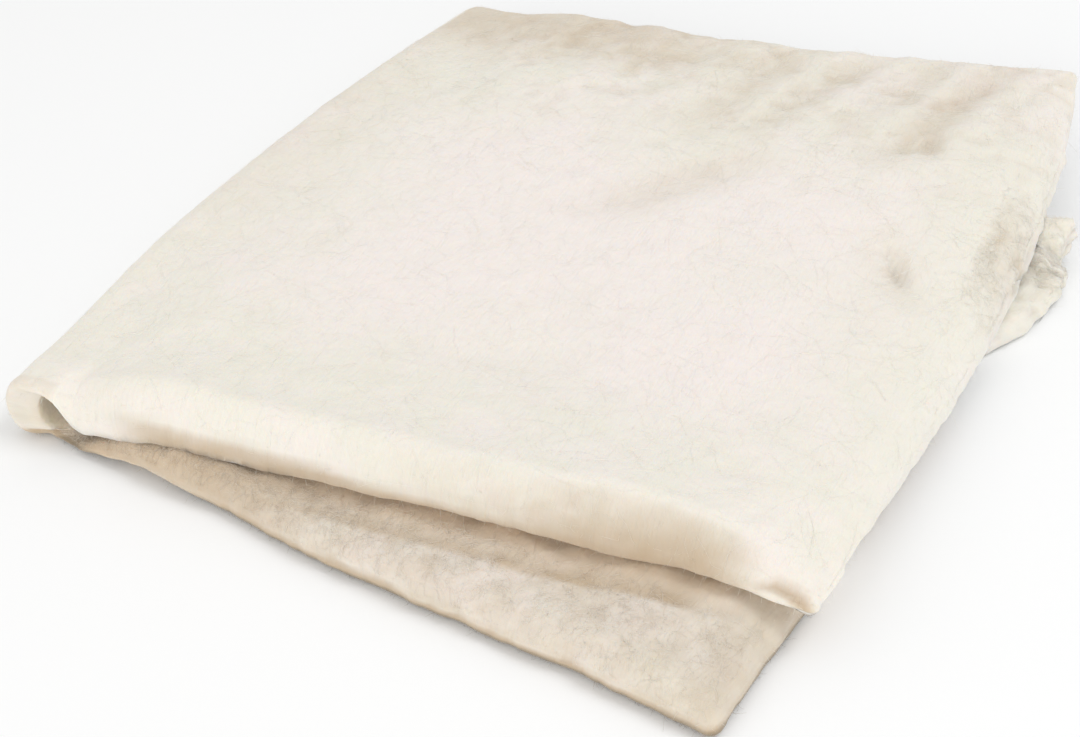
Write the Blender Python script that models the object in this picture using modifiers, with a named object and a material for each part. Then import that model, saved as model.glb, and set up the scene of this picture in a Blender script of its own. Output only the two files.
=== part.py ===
"""Fiberglass muffler packing: one needled glass-fibre mat, folded once like a book.

The mat lies on its lower leaf. The fold is on the left (-X) and runs a little askew, so the
two leaves fan out at the front right. The front edges stand apart as a shallow mouth, the
upper leaf's right edge sags outside the lower leaf, and the lower leaf's back right corner
is bunched up and sticks out. Metres, +Z up, +Y towards the back.
"""
import math

import bmesh
import bpy
from mathutils import Vector

# The mat, flat
MAT_WIDTH = 0.305
LOWER_LEAF_LENGTH = 0.279
UPPER_LEAF_LENGTH = 0.291
LOWER_THICKNESS = 0.0125
UPPER_THICKNESS = 0.0145
FOLD_THICKNESS = 0.0072
EDGE_THICKNESS_LOSS = 0.0030
EDGE_TAPER = 0.024

# The fold
FOLD_SKEW = math.radians(3.9)
FOLD_RADIUS_FRONT = 0.0056
FOLD_RADIUS_BACK = 0.0096
FOLD_SWELL = 0.0040
FOLD_BULGE = 0.0050
FOLD_RUN = 0.055
FOLD_END_REACH = 0.050
FOLD_END_OPENING = 0.0026
FOLD_END_LOWER = 0.0052
FOLD_END_LOWER_START = 0.025
FOLD_END_LOWER_RUN = 0.065
FOLD_END_UPPER = 0.0070
FOLD_END_UPPER_START = 0.006
FOLD_END_UPPER_RUN = 0.022
FOLD_END_SETBACK = 0.0040
FOLD_END_SETBACK_REACH = 0.100
FRONT_FULLNESS = 0.0020

# How the leaves lie
LEAF_GAP = 0.0015
MOUTH_OPENING = 0.0042
MOUTH_DEPTH = 0.070
MOUTH_PLACE = 0.68
MOUTH_HALF_LENGTH = 0.150
RIGHT_SAG = 0.0050
RIGHT_SAG_RUN = 0.030
RIGHT_BULGE = 0.0122
RIGHT_BULGE_LEAN = 1.35
CORNER_SAG = 0.0050
CORNER_SAG_RUN = 0.040
CORNER_THINNING = 0.0080
CORNER_THINNING_RUN = 0.070
FRONT_SETBACK = 0.0030
FRONT_SETBACK_PLACE = 0.245
FRONT_SETBACK_HALF_LENGTH = 0.055
FRONT_SETBACK_REACH = 0.060
FRONT_LIFT = 0.0035
FRONT_LIFT_PLACE = 0.060
FRONT_LIFT_RUN = 0.040
BACK_LIFT = 0.0040
BACK_LIFT_REACH = 0.110
BACK_CORNER_CURL = 0.0022
BACK_CORNER_CURL_REACH = 0.022

# The lower leaf's front edge
CORNER_DRAW = 0.0020
CORNER_DRAW_RUN = 0.060
FRONT_TUCK = 0.0045
FRONT_TUCK_START = 0.006
FRONT_TUCK_RISE = 0.012
FRONT_TUCK_END = 0.135
FRONT_TUCK_FALL = 0.055

# The lower leaf's free edge
EDGE_TUCK = 0.017
EDGE_TUCK_PLACE = 0.140
EDGE_TUCK_HALF_LENGTH = 0.075
EDGE_REACH = 0.070
BUNCH_SHORTENING = 0.042
BUNCH_NARROWING = 0.005
BUNCH_REACH = 0.085
BUNCH_SWELL = 0.0040
BUNCH_LIFT = 0.0040
BUNCH_PLACE = 0.210
BUNCH_BULGE = 0.0060
BUNCH_BULGE_PLACE = 0.232
BUNCH_BULGE_HALF_LENGTH = 0.055
BUNCH_CURL = 0.0060
BUNCH_CURL_REACH = 0.035

# Broad ridges in the upper leaf's back right quarter
RIDGE_HEIGHT = 0.0016
RIDGE_SPACING = 0.046
RIDGE_SLANT = math.radians(20.0)
RIDGE_DEPTH = 0.110
VALLEY_AT_BACK_EDGE = 0.262

# How finely the cage is drawn
LOWER_CELLS = 13
FOLD_CELLS = 6
UPPER_CELLS = 16
WIDTH_CELLS = 17

MAT_COLOUR = (0.86, 0.83, 0.77, 1.0)
MAT_ROUGHNESS = 0.95


def clear_scene():
    for thing in list(bpy.data.objects):
        bpy.data.objects.remove(thing, do_unlink=True)


def new_collection(name):
    group = bpy.data.collections.new(name)
    bpy.context.scene.collection.children.link(group)
    return group


def glass_fibre_material():
    material = bpy.data.materials.new("glass_fibre")
    material.use_nodes = True
    shader = material.node_tree.nodes["Principled BSDF"]
    shader.inputs["Base Color"].default_value = MAT_COLOUR
    shader.inputs["Roughness"].default_value = MAT_ROUGHNESS
    shader.inputs["Metallic"].default_value = 0.0
    return material


def ease(value):
    """0 up to 0, 1 from 1 on, and a smooth rise between."""
    value = min(max(value, 0.0), 1.0)
    return value * value * (3.0 - 2.0 * value)


def hump(distance, half_length):
    """1 in the middle, falling smoothly to 0 at half_length on both sides."""
    return ease(1.0 - abs(distance) / half_length)


def mix(a, b, share):
    return a + (b - a) * share


def flat_length():
    return LOWER_LEAF_LENGTH + UPPER_LEAF_LENGTH


def full_thickness():
    """The mat where it is thickest, along the upper leaf's front."""
    return UPPER_THICKNESS + FRONT_FULLNESS


def across_arch(across):
    """A low arch across the mat's width: 0 at its sides and 1 half way."""
    return math.sin(math.pi * min(max(across / MAT_WIDTH, 0.0), 1.0))


def at_fold_end(along):
    """1 at the fold's front end, where it gapes, and 0 from its reach on."""
    return ease(1.0 - along / FOLD_END_REACH)


def fold_radius(along):
    """Half the distance between the leaves' middles at the fold, larger away from its ends."""
    share = min(max(along / MAT_WIDTH, 0.0), 1.0)
    ends = mix(FOLD_RADIUS_FRONT, FOLD_RADIUS_BACK, share)
    return ends + FOLD_SWELL * across_arch(along) + FOLD_END_OPENING * at_fold_end(along)


def arc_half_length(along):
    return 0.5 * math.pi * fold_radius(along)


def cage_lengths():
    """Stations along the mat: the lower leaf, a close set round the fold, the upper leaf."""
    half_arc = arc_half_length(0.5 * MAT_WIDTH) + MAT_WIDTH * math.tan(FOLD_SKEW) / FOLD_CELLS
    start = LOWER_LEAF_LENGTH - half_arc
    end = LOWER_LEAF_LENGTH + half_arc
    lower = [start * i / LOWER_CELLS for i in range(LOWER_CELLS)]
    arc = [start + (end - start) * i / FOLD_CELLS for i in range(FOLD_CELLS)]
    upper = [end + (flat_length() - end) * i / UPPER_CELLS for i in range(UPPER_CELLS + 1)]
    return lower + arc + upper


def skewed_length(station, across):
    """A station moved along with the fold line, which meets the mat's sides askew."""
    shift = across * math.tan(FOLD_SKEW)
    if station < LOWER_LEAF_LENGTH:
        return station + shift * station / LOWER_LEAF_LENGTH
    return station + shift * (flat_length() - station) / UPPER_LEAF_LENGTH


def lower_thickness(inward, along):
    """The mat is squeezed at the fold, most of all at the fold's front end."""
    plain = mix(FOLD_THICKNESS, LOWER_THICKNESS, ease(inward / FOLD_RUN))
    at_end = mix(FOLD_END_LOWER, LOWER_THICKNESS, ease((inward - FOLD_END_LOWER_START) / FOLD_END_LOWER_RUN))
    return mix(plain, at_end, at_fold_end(along))


def upper_thickness(inward, along):
    plain = mix(FOLD_THICKNESS, UPPER_THICKNESS, ease(inward / FOLD_RUN))
    at_end = mix(FOLD_END_UPPER, full_thickness(), ease((inward - FOLD_END_UPPER_START) / FOLD_END_UPPER_RUN))
    return mix(plain, at_end, at_fold_end(along))


def edge_loss(length, across):
    """The mat thins out towards its two ends and towards the upper leaf's front right corner."""
    free_edge = flat_length() - length
    ends = EDGE_THICKNESS_LOSS * ease(1.0 - min(length, free_edge) / EDGE_TAPER)
    return ends + CORNER_THINNING * ease(1.0 - math.hypot(free_edge, across) / CORNER_THINNING_RUN)


def bunching(length, across):
    """How much the lower leaf's back right corner is crumpled at a point of the mat."""
    return ease(1.0 - length / BUNCH_REACH) * ease(1.0 - (MAT_WIDTH - across) / BUNCH_REACH)


def upper_lift(x, y, free_edge):
    """What the upper leaf rises or sags by, apart from lying on the lower one."""
    mouth = MOUTH_OPENING * ease(1.0 - y / MOUTH_DEPTH)
    mouth *= hump(x - MOUTH_PLACE * UPPER_LEAF_LENGTH, MOUTH_HALF_LENGTH)
    sag = RIGHT_SAG * ease(1.0 - free_edge / RIGHT_SAG_RUN) * across_arch(y)
    corner = CORNER_SAG * ease(1.0 - math.hypot(free_edge, y) / CORNER_SAG_RUN)
    over_bunch = BUNCH_LIFT * ease(1.0 - math.hypot(free_edge, y - BUNCH_PLACE) / BUNCH_REACH)
    from_corner = math.hypot(free_edge, MAT_WIDTH - y)
    back = BACK_LIFT * ease(1.0 - from_corner / BACK_LIFT_REACH)
    back += BACK_CORNER_CURL * ease(1.0 - from_corner / BACK_CORNER_CURL_REACH)
    return mouth - sag - corner + over_bunch + back


def ridges(x, y):
    """Soft slanting ridges that fade out from the back right corner."""
    from_back = MAT_WIDTH - y
    from_valley = (x - VALLEY_AT_BACK_EDGE) * math.cos(RIDGE_SLANT) + from_back * math.sin(RIDGE_SLANT)
    fade = ease(1.0 - from_back / RIDGE_DEPTH) * ease((x / UPPER_LEAF_LENGTH - 0.35) / 0.35)
    return -RIDGE_HEIGHT * fade * math.cos(2.0 * math.pi * from_valley / RIDGE_SPACING)


def lying_height(below, above, radius, inward, along):
    """How high the upper leaf's middle lies: level with the fold's top, then down on the lower leaf."""
    at_fold = 2.0 * radius + 0.5 * below
    resting = below + LEAF_GAP + 0.5 * above
    level_from = FOLD_END_UPPER_START + FOLD_END_UPPER_RUN
    plain = mix(at_fold, resting, ease(inward / FOLD_RUN))
    at_end = mix(at_fold, resting, ease(inward / level_from))
    return mix(plain, at_end, at_fold_end(along))


def upper_shift(x, y, length, across):
    """How the upper leaf's edges leave the plain rectangle."""
    free_edge = flat_length() - length
    leaning = MAT_WIDTH * (max(across, 0.0) / MAT_WIDTH) ** RIGHT_BULGE_LEAN
    bulge = RIGHT_BULGE * across_arch(leaning) * ease(1.0 - free_edge / EDGE_REACH)
    setback = FRONT_SETBACK * hump(x - FRONT_SETBACK_PLACE, FRONT_SETBACK_HALF_LENGTH)
    setback *= ease(1.0 - across / FRONT_SETBACK_REACH)
    return Vector((bulge, setback, upper_lift(x, y, free_edge) + ridges(x, y)))


def lower_shift(x, length, across):
    """How the lower leaf's edges leave the plain rectangle, most of all at the bunched corner."""
    bunch = bunching(length, across)
    near_end = ease(1.0 - length / EDGE_REACH)
    bulge = BUNCH_BULGE * near_end * hump(across - BUNCH_BULGE_PLACE, BUNCH_BULGE_HALF_LENGTH)
    tuck = EDGE_TUCK * near_end * hump(across - EDGE_TUCK_PLACE, EDGE_TUCK_HALF_LENGTH)
    front_tuck = FRONT_TUCK * ease((FRONT_TUCK_END - x) / FRONT_TUCK_FALL)
    front_tuck *= ease((x - FRONT_TUCK_START) / FRONT_TUCK_RISE) * ease(1.0 - across / EDGE_REACH)
    drawn = CORNER_DRAW * ease(1.0 - math.hypot(length, across) / CORNER_DRAW_RUN)
    curl = BUNCH_CURL * ease(1.0 - math.hypot(length, MAT_WIDTH - across) / BUNCH_CURL_REACH)
    return Vector((bulge - tuck - BUNCH_NARROWING * bunch, front_tuck - drawn - BUNCH_SHORTENING * bunch, curl))


def folded_point(length, across):
    """Where a point of the flat mat's middle surface lies once the mat is folded."""
    from_fold = length - LOWER_LEAF_LENGTH
    turned = from_fold * math.cos(FOLD_SKEW) - across * math.sin(FOLD_SKEW)
    along = from_fold * math.sin(FOLD_SKEW) + across * math.cos(FOLD_SKEW)
    radius = fold_radius(along)
    on_arc = min(abs(turned), arc_half_length(along))
    angle = math.copysign(on_arc / radius, turned)
    inward = radius * (1.0 - math.cos(angle)) + abs(turned) - on_arc

    swell = BUNCH_SWELL * bunching(length, across) - edge_loss(length, across)
    below = lower_thickness(inward, along)
    above = upper_thickness(inward, along)
    turn_share = 0.5 + 0.5 * math.sin(angle)
    thickness = mix(below, above, turn_share) + swell
    z = mix(0.5 * (below + swell), lying_height(below, above, radius, inward, along), turn_share)

    near_fold = ease(1.0 - inward / FOLD_RUN)
    inward -= FOLD_BULGE * across_arch(along) * near_fold
    inward += FOLD_END_SETBACK * ease(1.0 - along / FOLD_END_SETBACK_REACH) * near_fold
    x = along * math.sin(FOLD_SKEW) + inward * math.cos(FOLD_SKEW)
    y = along * math.cos(FOLD_SKEW) - inward * math.sin(FOLD_SKEW)
    z += FRONT_LIFT * hump(x - FRONT_LIFT_PLACE, FRONT_LIFT_RUN) * ease(1.0 - across / FRONT_LIFT_RUN)
    on_upper = turned > 0.0
    shift = upper_shift(x, y, length, across) if on_upper else lower_shift(x, length, across)
    return Vector((x, y, z)) + shift, thickness


def mat_cage():
    """The mat's middle surface as a grid, with each point's thickness in a vertex group."""
    lengths = cage_lengths()
    grid = bmesh.new()
    bmesh.ops.create_grid(grid, x_segments=len(lengths) - 1, y_segments=WIDTH_CELLS, size=1.0)
    weights = []
    for vert in grid.verts:
        column = round((vert.co.x + 1.0) * 0.5 * (len(lengths) - 1))
        row = round((vert.co.y + 1.0) * 0.5 * WIDTH_CELLS)
        across = MAT_WIDTH * row / WIDTH_CELLS
        vert.co, thickness = folded_point(skewed_length(lengths[column], across), across)
        weights.append(thickness / full_thickness())
    mesh = bpy.data.meshes.new("fiberglass_mat")
    grid.to_mesh(mesh)
    grid.free()
    return mesh, weights


def folded_mat(group, material):
    mesh, weights = mat_cage()
    mat = bpy.data.objects.new("fiberglass_mat", mesh)
    group.objects.link(mat)
    mesh.materials.append(material)
    mesh.shade_smooth()

    share = mat.vertex_groups.new(name="thickness")
    for index, weight in enumerate(weights):
        share.add([index], weight, "REPLACE")
    solid = mat.modifiers.new("thickness", "SOLIDIFY")
    solid.thickness = full_thickness()
    solid.offset = 0.0
    solid.vertex_group = "thickness"
    soft = mat.modifiers.new("soft_edges", "SUBSURF")
    soft.levels = 1
    soft.render_levels = 1
    return mat


def evaluated_box(thing):
    bpy.context.view_layer.update()
    shape = thing.evaluated_get(bpy.context.evaluated_depsgraph_get()).to_mesh()
    corners = [thing.matrix_world @ vert.co for vert in shape.vertices]
    low = Vector([min(corner[axis] for corner in corners) for axis in range(3)])
    high = Vector([max(corner[axis] for corner in corners) for axis in range(3)])
    return low, high


def centre_on_floor(thing):
    """Moves the mat so that its box's bottom centre is the origin."""
    low, high = evaluated_box(thing)
    shift = Vector((0.5 * (low.x + high.x), 0.5 * (low.y + high.y), low.z))
    for vert in thing.data.vertices:
        vert.co -= shift


def main():
    clear_scene()
    group = new_collection("fiberglass_muffler_packing")
    mat = folded_mat(group, glass_fibre_material())
    centre_on_floor(mat)


main()
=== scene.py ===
"""The looks of the folded glass-fibre packing mat.

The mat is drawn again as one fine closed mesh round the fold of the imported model: a middle
surface is folded, given its thickness and soft cut edges, settled a little as cloth, and then
roughened the way needled glass wool is. Loose strands lie on it and stick out of its edges.
Lengths are metres. A flat point of the mat is (length, across): length runs from the lower
leaf's free end over the fold to the upper leaf's free end, and across from front to back.
"""
import math

import bpy
import numpy as np
from mathutils import Matrix, Vector


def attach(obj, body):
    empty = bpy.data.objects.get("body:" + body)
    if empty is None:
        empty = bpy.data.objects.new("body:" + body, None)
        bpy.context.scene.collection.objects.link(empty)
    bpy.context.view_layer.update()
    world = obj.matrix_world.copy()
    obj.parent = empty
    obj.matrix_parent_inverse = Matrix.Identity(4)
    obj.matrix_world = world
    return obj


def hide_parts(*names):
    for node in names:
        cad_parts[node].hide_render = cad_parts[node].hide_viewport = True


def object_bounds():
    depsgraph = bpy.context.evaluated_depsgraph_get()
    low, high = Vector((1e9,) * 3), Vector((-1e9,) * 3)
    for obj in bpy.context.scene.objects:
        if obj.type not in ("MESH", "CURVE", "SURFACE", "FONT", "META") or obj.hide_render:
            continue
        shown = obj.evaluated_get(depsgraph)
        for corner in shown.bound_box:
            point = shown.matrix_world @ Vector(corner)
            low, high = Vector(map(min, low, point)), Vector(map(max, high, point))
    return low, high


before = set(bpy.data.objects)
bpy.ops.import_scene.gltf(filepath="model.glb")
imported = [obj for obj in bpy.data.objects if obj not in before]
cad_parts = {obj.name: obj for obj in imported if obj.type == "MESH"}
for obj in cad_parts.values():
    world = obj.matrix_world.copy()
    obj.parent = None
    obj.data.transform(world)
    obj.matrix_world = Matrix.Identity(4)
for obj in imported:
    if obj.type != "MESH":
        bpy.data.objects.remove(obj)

SEED = 4711
CAD_BOX = [list(corner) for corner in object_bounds()]

# The mat, flat
MAT_WIDTH = 0.305
LOWER_LEAF_LENGTH = 0.279
UPPER_LEAF_LENGTH = 0.291
FLAT_LENGTH = LOWER_LEAF_LENGTH + UPPER_LEAF_LENGTH
LOWER_THICKNESS = 0.0125
UPPER_THICKNESS = 0.0145
FOLD_THICKNESS = 0.0072

# The fold. In this group and the next three, a name that ends in _IN, _X, _Y or _Z and holds a pair
# is the span in which something changes smoothly. Any other pair is an amount and the distance over
# which it fades. Three numbers are a rise: its height, its place, and how far it reaches to both
# sides. Layers are clouds of unevenness, each with its height and its cell.
FOLD_SKEW = math.radians(3.9)
FOLD_RADIUS_FRONT = 0.0056
FOLD_RADIUS_BACK = 0.0096
FOLD_SWELL = 0.0040
FOLD_BULGE = 0.0050
FOLD_RUN = 0.055
FOLD_END_REACH = 0.050
FOLD_END_OPENING = 0.0039
FOLD_END_LOWER = 0.0050
FOLD_END_LOWER_IN = (0.025, 0.090)
FOLD_END_UPPER = 0.0042
FOLD_END_UPPER_IN = (0.0215, 0.0325)
FOLD_END_GAP_LOSS = 0.0011
FOLD_END_SETBACK = (0.0040, 0.100)
HOLLOW_SHIFT = 0.0092
HOLLOW_KEEP = 0.009
HOLLOW_FADE = 0.021
HOLLOW_FADE_LOWER = 0.045
FLAP_RISE = 0.0040
FLAP_RISE_END_IN = (0.048, 0.026)
HOLLOW_LIP = 0.0016
FRONT_FULLNESS = 0.0020

# How the leaves lie
LEAF_GAP = 0.0015
MOUTH_OPENING = 0.0042
MOUTH_DEPTH = 0.070
MOUTH_PLACE = 0.68
MOUTH_HALF_LENGTH = 0.150
RIGHT_SAG = (0.0050, 0.030)
RIGHT_BULGE = 0.0122
RIGHT_BULGE_LEAN = 1.35
CORNER_SAG = (0.0050, 0.040)
CORNER_DRAW = (0.0020, 0.060)
FRONT_TUCK = 0.0045
FRONT_TUCK_X = (0.006, 0.018)
FRONT_TUCK_END_X = (0.135, 0.080)
FRONT_LIFT = (0.0035, 0.060, 0.040)
FRONT_LIFT_REACH = 0.040
EDGE_TUCK = (0.017, 0.140, 0.075)
EDGE_REACH = 0.070
BUNCH_SHORTENING = 0.042
BUNCH_NARROWING = 0.005
BUNCH_REACH = 0.085
BUNCH_SWELL = 0.0040
BUNCH_LIFT = 0.0040
BUNCH_PLACE = 0.210
BUNCH_BULGE = (0.0060, 0.232, 0.055)
BUNCH_CURL = (0.0060, 0.035)
BACK_LIFT = (0.0040, 0.110)
FRONT_SETBACK = (0.0030, 0.245, 0.055)
FRONT_SETBACK_REACH = 0.060
END_THINNING = (0.0030, 0.024)
CORNER_THINNING = (0.0080, 0.070)

# Cut edges and corners
CORNER_ROUND = 0.0036
EDGE_STATION_REACH = 0.012
EDGE_RINGS = 9
LOWER_TOP_ROUND = 0.010
LOWER_UNDER_ROUND = 0.0030
UPPER_NOSE_LEFT = 0.0130
UPPER_NOSE_RIGHT = 0.016
UPPER_NOSE_END = 0.010
UPPER_NOSE_BACK = 0.0120
UPPER_NOSE_BACK_RIGHT = 0.0040
UPPER_UNDER_ROUND = 0.0035
FOLD_EDGE_ROUND = 0.0035
UPPER_EDGE_SHARE = -0.50
UPPER_EDGE_SHARE_LEFT = -1.0
UPPER_BACK_SHARE = -0.30
UPPER_BACK_RIGHT_SHARE = 0.55
BACK_CORNER_CURL = (0.0022, 0.022)
LOWER_EDGE_SHARE = 0.45
NOSE_DROP = 0.0022
NOSE_DROP_REACH = 0.012
NOSE_DROP_RIGHT = (0.0024, 0.232, 0.050)
MITRE_WIDTH = 0.020
RAGGED_REACH = 0.010
RAGGED_MITRE_WIDTH = 0.012
RAGGED_LAYERS = ((0.0006, 0.021), (0.0006, 0.0075), (0.0005, 0.0034))
NOSE_X = (0.16, 0.26)
NOSE_BACK_X = (0.14, 0.23)
FOLD_ROUND_X = (0.006, 0.026)
OFF_FOLD_X = (0.018, 0.029)
EDGE_SHARE_X = (0.10, 0.18)
BACK_SHARE_X = (0.14, 0.24)
BACK_CORNER_REACH = 0.045
STEEP_X = (0.012, 0.018)
STEEP_END_X = (0.045, 0.035)

# Parts of the surface: the tufty back, the torn spot at the right, what shows of the lower
# leaf's inner side, and the crumpled corner, called the wad
FOLD_MARGIN = 0.012
BACK_X, BACK_Y = (0.03, 0.08), (0.17, 0.26)
TORN_X, TORN = (0.279, 0.287), (1.0, 0.180, 0.050)
SEEN_FRONT, SEEN_RIGHT = 0.030, 0.262
WAD_X, WAD_Y, WAD_GROWTH = (0.282, 0.290), (0.145, 0.175), 3.0

# Relief: how rough each part is, then the layers
ROUGH_PLAIN, ROUGH_TOP, ROUGH_SEEN_INSIDE = 0.55, 0.75, 2.1
ROUGH_BACK, ROUGH_TORN = 1.2, 1.5
BROAD_LAYERS = ((0.0007, 0.046), (0.0006, 0.019))
BROAD_SHARE = 0.55
FINE_LAYERS = ((0.00030, 0.0085), (0.00022, 0.0042))
TORN_LAYERS = ((0.0018, 0.012), (0.0014, 0.0060))
TORN_DEPTH = 0.0012
CRUMPLE_HEIGHT, CRUMPLE_MEAN = 0.0052, 0.35
CRUMPLE_FOLDS = ((1.0, 0.020), (0.5, 0.009))
CRUMPLE_GRAIN = ((0.30, 0.0058),)
RIDGE_LAYERS = ((0.0011, 0.060),)
RIDGE_SLANT = 0.26
RIDGE_SQUEEZE = 3.2
BACK_EDGE_SHARE, BACK_EDGE_REACH = 0.25, 0.022

# Shades: BRIGHT, towards which loose strands are lightened; the wool's own pale and cream; tan, which
# also speckles the wool, and brown, both mostly used as painted shade; and two warm colours that are
# painted light, in the mouth and in the fold's hollow
BRIGHT = np.array((0.97, 0.955, 0.93))
PALE = np.array((0.875, 0.83, 0.81))
CREAM = np.array((0.825, 0.812, 0.745))
TAN = np.array((0.55, 0.445, 0.325))
PAINTED_WARM_LIGHT = np.array((0.91, 0.77, 0.62))
PAINTED_HOLLOW_LIGHT = np.array((0.985, 0.90, 0.77))
BROWN = np.array((0.26, 0.215, 0.16))

# Tint: 0 is pale wool, 1 is tan and 2 is brown; most tints below are painted shade. Apart from the pairs
# of tints, a pair is the span in which a tint comes or goes.
# Painted shade in the small cavities of the wool's relief, and in the crumples of the wad
CAVITY_PAINTED_SHADE, CAVITY_PAINTED_SHADE_INSIDE, CAVITY_DEPTH = 0.11, 0.035, 0.00022
WAD_TINT, WAD_CAVITY_PAINTED_SHADE, WAD_CAVITY_DEPTH = 0.05, 0.09, 0.30
# The second is painted shade on the torn spot at the right
BACK_TINT, TORN_SPOT_PAINTED_SHADE = 0.06, 0.24
# Painted shade where the top slopes away at the left and at the back left
SLOPE_PAINTED_SHADE, SLOPE_X, SLOPE_Y = 0.17, (0.060, 0.010), (0.05, 0.20)
BACK_LEFT_PAINTED_SHADE, BACK_LEFT_X, BACK_LEFT_Y = 0.55, (0.20, 0.10), (0.235, 0.285)
TO_RIGHT_X = (0.13, 0.25)
# Painted shade on the upper leaf's front face, fullest low down
FACE_PAINTED_SHADE, FACE_TURN, FACE_X, FACE_END_X = 0.88, (0.24, 0.69), (0.040, 0.070), (0.272, 0.250)
FACE_Z, FACE_RIGHT_Z, FACE_RIGHT_LEAST = (0.0220, 0.0170), (0.0310, 0.0210), 0.45
# Painted shade in the mouth, on the lower leaf below the upper leaf's front edge, lighter deeper in
MOUTH_PAINTED_SHADE_LEFT, MOUTH_BAND, MOUTH_END_X = 0.80, (-0.013, -0.008), (0.262, 0.246)
MOUTH_DEEP_LEFT, MOUTH_DEEP_RIGHT, MOUTH_DEEP = 0.08, 0.45, (-0.010, 0.002)
STRIP_DEPTH, STRIP_END = 0.020, 0.30
STRIP_TINTS, STRIP_X = (1.35, 0.86, 0.38), ((0.030, 0.045), (0.085, 0.145))
STRIP_START_X = (0.012, 0.024)
# Painted shade along the foot of the lower strip, brown at its very bottom
FOOT_PAINTED_SHADES, FOOT_Z = (0.78, 1.2), ((0.0080, 0.0035), (0.0042, 0.0022))
# Painted shade on the wall of the fold's front end, darkest low down
WALL_X, WALL_Y, WALL_Z, WALL_PAINTED_SHADES = 0.024, 0.006, (0.0050, 0.0025), (0.22, 0.95)
# Painted shade on the right end of the lower leaf's front strip, beneath the upper leaf's corner
CORNER_PAINTED_SHADE, CORNER_X, CORNER_DEPTH = 0.54, (0.240, 0.270), 0.03

# Painted light: a warm light colour inside the mouth, and a lighter colour in the hollow of the fold's
# end, both places that lie in shade
WARM_BAND, WARM_END_X, WARM_LIP, WARM_DEPTH = (-0.009, 0.003), (0.268, 0.252), (0.001, 0.004), 0.120
HOLLOW_LOWER_X, HOLLOW_UPPER_X = (0.034, 0.024), (0.056, 0.046)
HOLLOW_EDGE, HOLLOW_DEPTH = (0.0008, 0.0028), 0.060

# Mottling of the colour, as layers
MID_X, MID_END_X, MID_Y, MID_END_Y = (0.02, 0.10), (0.285, 0.235), (0.03, 0.09), (0.24, 0.16)
CREAM_LAYERS = ((0.45, 0.050), (0.25, 0.016))
CREAM_GRAIN, CREAM_GRAIN_CELL, CREAM_GRAIN_MEAN = 0.35, 0.0075, 0.6
MOTTLE_LAYERS = ((0.30, 0.0070), (0.30, 0.0038))
MOTTLE_LOSS, MOTTLE_LOSS_TINT = 0.7, (0.35, 0.65)

# The wool's material: noise scales are for one metre
WOOL = {
    "Roughness": 0.95,
    "Specular IOR Level": 0.2,
    "Subsurface Radius": (1.0, 0.8, 0.6),
    "Subsurface Scale": 0.003,
    "Sheen Weight": 0.15,
}
MAT_SUBSURFACE = 0.5
SPECKLE_SCALE, SPECKLE_SHARE = 420.0, 0.10
STREAK_SCALE, STREAK_STRETCH, STREAK_TURNS = 900.0, (1.0, 0.07, 1.0), (0.15, 1.15, 2.25)
GRAIN_SCALE = 330.0
BUMP_STRENGTH, BUMP_DISTANCE = 0.55, 0.0006
INNER_SIDE_V = 0.7

# Loose strands: how many, and how far their colour goes to BRIGHT, which is partly the loose fibres'
# paler colour and partly painted light that offsets the shade of their thin tubes
TOP_STRANDS, TOP_LIGHTEN = 4200, 0.6
STRIP_STRANDS, LUMP_STRANDS, TEAR_STRANDS, FRONT_LIGHTEN = 2200, 900, 250, 0.3
EDGE_STRANDS, EDGE_LIGHTEN = 3400, 0.35
TOP_NAP, STRIP_NAP, NAP_LIGHTEN = 6500, 2500, 0.35
LONGEST_TOP_STRAND, LONGEST_EDGE_STRAND = 0.045, 0.005
LAID_STEPS, EDGE_STEPS, NAP_STEPS = 6, 5, 4
TAPER_LEAST = 0.35
EDGE_GAP = 0.0008

# Camera, from the fold's front corner, and studio
CAMERA_PLACE = (0.3971, -0.3357, 0.3606)
CAMERA_AZIMUTH, CAMERA_ELEVATION, CAMERA_ROLL = 29.4, 36.1, 5.5
LENS_MM, SENSOR_MM = 60.0, 36.0
LIGHTS = (
    ("key", (1.5, 0.5, 2.4), 1.4, 20.0, (0.96, 0.98, 1.0)),
    ("fill", (0.2, -2.4, 0.9), 1.6, 19.0, (1.0, 0.96, 0.91)),
)
SKY_COLOUR, SKY_STRENGTH = (1.0, 0.975, 0.94, 1.0), 0.76
FLOOR_COLOUR, FLOOR_SIZE, FLOOR_DROP = (0.94, 0.96, 0.985, 1.0), 8.0, 0.0003

# Settling as cloth
CLOTH_CELL = 0.006
CLOTH_FRAMES = 20
CLOTH_PRESSURE = 2.0
CLOTH_SPREAD = 0.008
CLOTH_CAP = 0.0008
CLOTH_FACING_CAP = 0.0002

# Mesh spacing
LOWER_STEP = 0.0019
FOLD_STEP = 0.0014
UPPER_STEP = 0.0019
FRONT_STEP = 0.0014
BACK_STEP = 0.0025
FOLD_ZONE = 0.020
FRONT_ZONE = 0.050

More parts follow.
